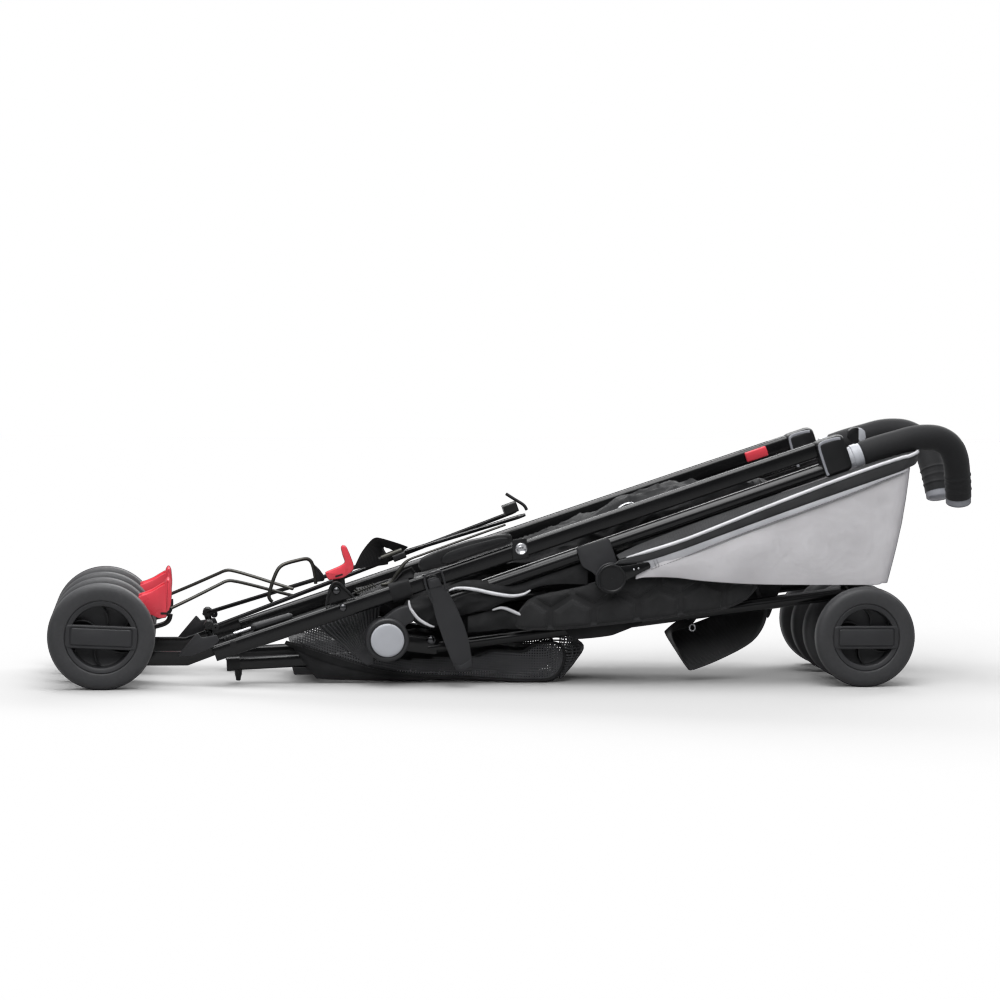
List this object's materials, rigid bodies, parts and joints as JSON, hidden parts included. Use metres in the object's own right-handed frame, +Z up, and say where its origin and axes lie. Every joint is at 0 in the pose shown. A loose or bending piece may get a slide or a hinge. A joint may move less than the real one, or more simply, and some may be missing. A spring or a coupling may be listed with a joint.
{
  "type": "umbrella-fold stroller",
  "caption": "Compact umbrella-fold stroller, folded flat on its wheels, with its hood, seat sling and basket gathered between two side frames.",
  "frame": {"origin": "on the ground, under the middle of the folded stroller's box", "axes": "+X from the rear wheels to the handles, +Y from the child's right side to the left, +Z up from the ground the folded stroller lies on"},
  "size_m": [1.1104, 0.246, 0.3128],
  "materials": {
    "black_fabric": "black woven polyester",
    "black_painted_steel": "black powder coat, semi-gloss",
    "charcoal_grip_foam": "charcoal foam grip, matt",
    "coral_red_plastic": "coral red moulded plastic",
    "dark_grey_plastic": "dark grey moulded nylon with a fine grain",
    "grey_foam_tyre": "charcoal grey foam rubber, satin",
    "grey_rim_plastic": "charcoal grey moulded rim, satin",
    "plain_steel": "bright zinc-plated steel",
    "silver_grey_fabric": "silver grey coated polyester"
  },
  "bodies": {
    "seat_sling": {"basket": "black_fabric", "seat_fabric": "black_fabric"},
    "brake_left": {"brake_pedal_left": "coral_red_plastic"},
    "brake_right": {"brake_pedal_right": "coral_red_plastic"},
    "caster_left": {"caster_fork_left": "dark_grey_plastic", "front_axle_left": "plain_steel"},
    "caster_right": {"caster_fork_right": "dark_grey_plastic", "front_axle_right": "plain_steel"},
    "cross_bar_left": {"cross_bar_left": "black_painted_steel"},
    "cross_bar_right": {"cross_bar_right": "black_painted_steel"},
    "fold_lever": {"fold_lever": "coral_red_plastic"},
    "front_leg_left": {"front_leg_left": "black_painted_steel"},
    "front_leg_right": {"front_leg_right": "black_painted_steel"},
    "front_wheel_left_inner": {"front_rim_left_inner": "grey_rim_plastic", "front_tyre_left_inner": "grey_foam_tyre"},
    "front_wheel_left_outer": {"front_rim_left_outer": "grey_rim_plastic", "front_tyre_left_outer": "grey_foam_tyre"},
    "front_wheel_right_inner": {"front_rim_right_inner": "grey_rim_plastic", "front_tyre_right_inner": "grey_foam_tyre"},
    "front_wheel_right_outer": {"front_rim_right_outer": "grey_rim_plastic", "front_tyre_right_outer": "grey_foam_tyre"},
    "frame_left": {"grip_left": "charcoal_grip_foam", "handle_connector_left": "dark_grey_plastic", "hinge_housing_left": "dark_grey_plastic", "hood_clamp_left": "dark_grey_plastic", "hood_fabric_left": "silver_grey_fabric", "main_tube_left": "black_painted_steel", "rear_axle_left": "plain_steel", "rear_hub_left": "dark_grey_plastic", "rear_leg_left": "black_painted_steel", "seat_side_left": "black_fabric", "side_tube_left": "black_painted_steel"},
    "frame_right": {"grip_right": "charcoal_grip_foam", "handle_connector_right": "dark_grey_plastic", "hinge_housing_right": "dark_grey_plastic", "hood_clamp_right": "dark_grey_plastic", "hood_fabric_right": "silver_grey_fabric", "main_tube_right": "black_painted_steel", "rear_axle_right": "plain_steel", "rear_hub_right": "dark_grey_plastic", "rear_leg_right": "black_painted_steel", "seat_side_right": "black_fabric", "side_tube_right": "black_painted_steel"},
    "hood_arm_left": {"hood_arm_left": "black_painted_steel"},
    "hood_arm_right": {"hood_arm_right": "black_painted_steel"},
    "link_rod_left": {"link_rod_left": "black_painted_steel"},
    "link_rod_right": {"link_rod_right": "black_painted_steel"},
    "rear_wheel_left_inner": {"rear_rim_left_inner": "grey_rim_plastic", "rear_tyre_left_inner": "grey_foam_tyre"},
    "rear_wheel_left_outer": {"rear_rim_left_outer": "grey_rim_plastic", "rear_tyre_left_outer": "grey_foam_tyre"},
    "rear_wheel_right_inner": {"rear_rim_right_inner": "grey_rim_plastic", "rear_tyre_right_inner": "grey_foam_tyre"},
    "rear_wheel_right_outer": {"rear_rim_right_outer": "grey_rim_plastic", "rear_tyre_right_outer": "grey_foam_tyre"},
    "recline_button": {"recline_button": "coral_red_plastic"},
    "release_loop": {"release_loop": "plain_steel"},
    "seat_rail_left": {"seat_rail_left": "black_painted_steel"},
    "seat_rail_right": {"seat_rail_right": "black_painted_steel"},
    "storage_clip": {"storage_clip": "dark_grey_plastic"}
  },
  "joints": [
    {"name": "unfold", "type": "slide", "parent": "frame_right", "child": "frame_left", "axis": [0, 1, 0], "range_m": [0, 0.18]},
    {"name": "sling_spread", "type": "slide", "parent": "frame_right", "child": "seat_sling", "axis": [0, 1, 0], "range_m": [0, 0.09]},
    {"name": "front_leg_right_swing", "type": "hinge", "parent": "frame_right", "child": "front_leg_right", "pos_m": [-0.15855, -0.074, 0.056], "axis": [0, 1, 0], "range_deg": [0, 114.2]},
    {"name": "seat_rail_right_swing", "type": "hinge", "parent": "frame_right", "child": "seat_rail_right", "pos_m": [-0.15855, -0.055, 0.056], "axis": [0, 1, 0], "range_deg": [-105.2, 0]},
    {"name": "cross_bar_right_turn", "type": "hinge", "parent": "frame_right", "child": "cross_bar_right", "pos_m": [-0.36825, -0.0725, 0.0665], "axis": [-0.3272, 0, 0.9449], "range_deg": [0, 26.66]},
    {"name": "link_rod_right_turn", "type": "hinge", "parent": "frame_right", "child": "link_rod_right", "pos_m": [-0.41325, -0.0505, 0.0885], "axis": [0, 0, 1], "range_deg": [0, 46.46]},
    {"name": "caster_right_swivel", "type": "hinge", "parent": "front_leg_right", "child": "caster_right", "pos_m": [0.4356, -0.074, 0.07567], "axis": [-0.5779, 0, 0.8161], "range_deg": [-8, 8]},
    {"name": "brake_right_press", "type": "hinge", "parent": "frame_right", "child": "brake_right", "pos_m": [-0.43975, -0.074, 0.0895], "axis": [0, 1, 0], "range_deg": [-20, 0]},
    {"name": "rear_wheel_right_outer_spin", "type": "hinge", "parent": "frame_right", "child": "rear_wheel_right_outer", "pos_m": [-0.49325, -0.111, 0.06197], "axis": [0, 1, 0], "continuous": true},
    {"name": "rear_wheel_right_inner_spin", "type": "hinge", "parent": "frame_right", "child": "rear_wheel_right_inner", "pos_m": [-0.49325, -0.037, 0.06197], "axis": [0, 1, 0], "continuous": true},
    {"name": "front_wheel_right_outer_spin", "type": "hinge", "parent": "caster_right", "child": "front_wheel_right_outer", "pos_m": [0.41275, -0.111, 0.05949], "axis": [0, 1, 0], "continuous": true},
    {"name": "front_wheel_right_inner_spin", "type": "hinge", "parent": "caster_right", "child": "front_wheel_right_inner", "pos_m": [0.41275, -0.037, 0.05949], "axis": [0, 1, 0], "continuous": true},
    {"name": "hood_arm_right_swing", "type": "hinge", "parent": "frame_right", "child": "hood_arm_right", "pos_m": [0.10625, -0.1115, 0.13], "axis": [0, 1, 0], "range_deg": [-14, 0]},
    {"name": "front_leg_left_swing", "type": "hinge", "parent": "frame_left", "child": "front_leg_left", "pos_m": [-0.15855, 0.074, 0.056], "axis": [0, 1, 0], "range_deg": [0, 114.2]},
    {"name": "seat_rail_left_swing", "type": "hinge", "parent": "frame_left", "child": "seat_rail_left", "pos_m": [-0.15855, 0.055, 0.056], "axis": [0, 1, 0], "range_deg": [-105.2, 0]},
    {"name": "cross_bar_left_turn", "type": "hinge", "parent": "frame_left", "child": "cross_bar_left", "pos_m": [-0.36825, 0.0725, 0.0665], "axis": [-0.3272, 0, 0.9449], "range_deg": [-26.66, 0]},
    {"name": "link_rod_left_turn", "type": "hinge", "parent": "frame_left", "child": "link_rod_left", "pos_m": [-0.41325, 0.0505, 0.0885], "axis": [0, 0, 1], "range_deg": [-46.46, 0]},
    {"name": "caster_left_swivel", "type": "hinge", "parent": "front_leg_left", "child": "caster_left", "pos_m": [0.4356, 0.074, 0.07567], "axis": [-0.5779, 0, 0.8161], "range_deg": [-8, 8]},
    {"name": "brake_left_press", "type": "hinge", "parent": "frame_left", "child": "brake_left", "pos_m": [-0.43975, 0.074, 0.0895], "axis": [0, 1, 0], "range_deg": [-20, 0]},
    {"name": "rear_wheel_left_outer_spin", "type": "hinge", "parent": "frame_left", "child": "rear_wheel_left_outer", "pos_m": [-0.49325, 0.111, 0.06197], "axis": [0, 1, 0], "continuous": true},
    {"name": "rear_wheel_left_inner_spin", "type": "hinge", "parent": "frame_left", "child": "rear_wheel_left_inner", "pos_m": [-0.49325, 0.037, 0.06197], "axis": [0, 1, 0], "continuous": true},
    {"name": "front_wheel_left_outer_spin", "type": "hinge", "parent": "caster_left", "child": "front_wheel_left_outer", "pos_m": [0.41275, 0.111, 0.05949], "axis": [0, 1, 0], "continuous": true},
    {"name": "front_wheel_left_inner_spin", "type": "hinge", "parent": "caster_left", "child": "front_wheel_left_inner", "pos_m": [0.41275, 0.037, 0.05949], "axis": [0, 1, 0], "continuous": true},
    {"name": "hood_arm_left_swing", "type": "hinge", "parent": "frame_left", "child": "hood_arm_left", "pos_m": [0.10625, 0.1115, 0.13], "axis": [0, 1, 0], "range_deg": [-14, 0]},
    {"name": "fold_lever_pull", "type": "hinge", "parent": "frame_right", "child": "fold_lever", "pos_m": [-0.21525, -0.088, 0.125], "axis": [0, 1, 0], "range_deg": [-30, 0], "stiffness_Nm_per_rad": 0.05},
    {"name": "release_loop_tilt", "type": "hinge", "parent": "cross_bar_right", "child": "release_loop", "pos_m": [-0.30042, -0.04801, 0.09692], "axis": [0.8972, 0.314, 0.3107], "range_deg": [0, 50]},
    {"name": "storage_clip_swing", "type": "hinge", "parent": "frame_right", "child": "storage_clip", "pos_m": [-0.10425, -0.107, 0.1275], "axis": [0, 1, 0], "range_deg": [-35, 0]},
    {"name": "recline_button_slide", "type": "slide", "parent": "frame_left", "child": "recline_button", "axis": [0.9472, 0, 0.3206], "range_m": [-0.008, 0], "stiffness_N_per_m": 150}
  ],
  "couplings": [
    {"joint": "sling_spread", "follows": "unfold", "ratio": 0.5},
    {"joint": "front_leg_right_swing", "follows": "unfold", "rad_per_m": 11.054},
    {"joint": "seat_rail_right_swing", "follows": "unfold", "rad_per_m": -10.181},
    {"joint": "cross_bar_right_turn", "follows": "unfold", "rad_per_m": 2.5598},
    {"joint": "link_rod_right_turn", "follows": "unfold", "rad_per_m": 4.4603},
    {"joint": "front_leg_left_swing", "follows": "unfold", "rad_per_m": 11.054},
    {"joint": "seat_rail_left_swing", "follows": "unfold", "rad_per_m": -10.181},
    {"joint": "cross_bar_left_turn", "follows": "unfold", "rad_per_m": -2.5598},
    {"joint": "link_rod_left_turn", "follows": "unfold", "rad_per_m": -4.4603},
    {"joint": "hood_arm_left_swing", "follows": "hood_arm_right_swing", "ratio": 1}
  ]
}
